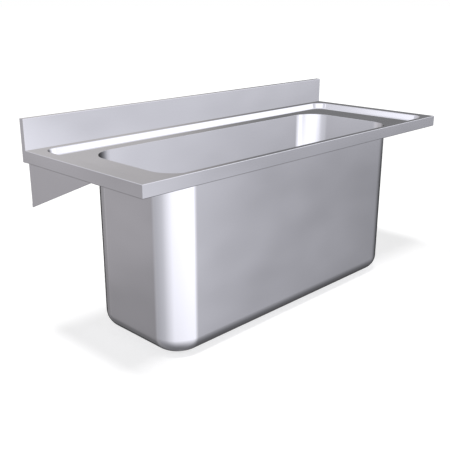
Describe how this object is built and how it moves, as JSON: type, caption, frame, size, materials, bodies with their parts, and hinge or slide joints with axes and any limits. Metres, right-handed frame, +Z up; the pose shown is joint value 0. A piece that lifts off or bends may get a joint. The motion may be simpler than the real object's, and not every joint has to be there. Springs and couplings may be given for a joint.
{
  "type": "wall-mounted sink",
  "caption": "Deep stainless-steel sink that hangs on a wall: recessed worktop with a rear upstand, long rounded bowl, triangular brackets and a lift-out standpipe.",
  "frame": {"origin": "on the wall plane, at the middle of the worktop's length and at the height of its rim", "axes": "+X along the worktop to the right as seen from the front, +Y into the wall, +Z up"},
  "size_m": [1.5, 0.6, 0.791],
  "materials": {
    "satin_steel": "satin, fine brushed",
    "bowl_steel": "satin, bright on the radii",
    "fastener_steel": "plain stainless",
    "polished_steel": "polished",
    "black_rubber": "matt moulded",
    "white_nylon": "matt moulded",
    "cast_brass": "cast and machined"
  },
  "bodies": {
    "sink": {"worktop": "satin_steel", "rear_upstand": "satin_steel", "upstand_end_left": "satin_steel", "upstand_end_right": "satin_steel", "bowl_wall": "bowl_steel", "bowl_floor": "bowl_steel", "left_bracket": "satin_steel", "right_bracket": "satin_steel", "bracket_studs": "fastener_steel", "bracket_washers": "fastener_steel", "bracket_nuts": "fastener_steel", "waste_body": "polished_steel", "waste_top_gasket": "black_rubber", "waste_bottom_gasket": "black_rubber", "waste_slip_washer": "white_nylon", "waste_backnut": "cast_brass"},
    "standpipe": {"standpipe_plug": "black_rubber", "standpipe_tube": "polished_steel", "standpipe_cap": "polished_steel", "standpipe_knob": "polished_steel"}
  },
  "joints": [
    {"name": "standpipe_lift", "type": "slide", "parent": "sink", "child": "standpipe", "axis": [0, 0, 1], "range_m": [0, 0.66]}
  ]
}
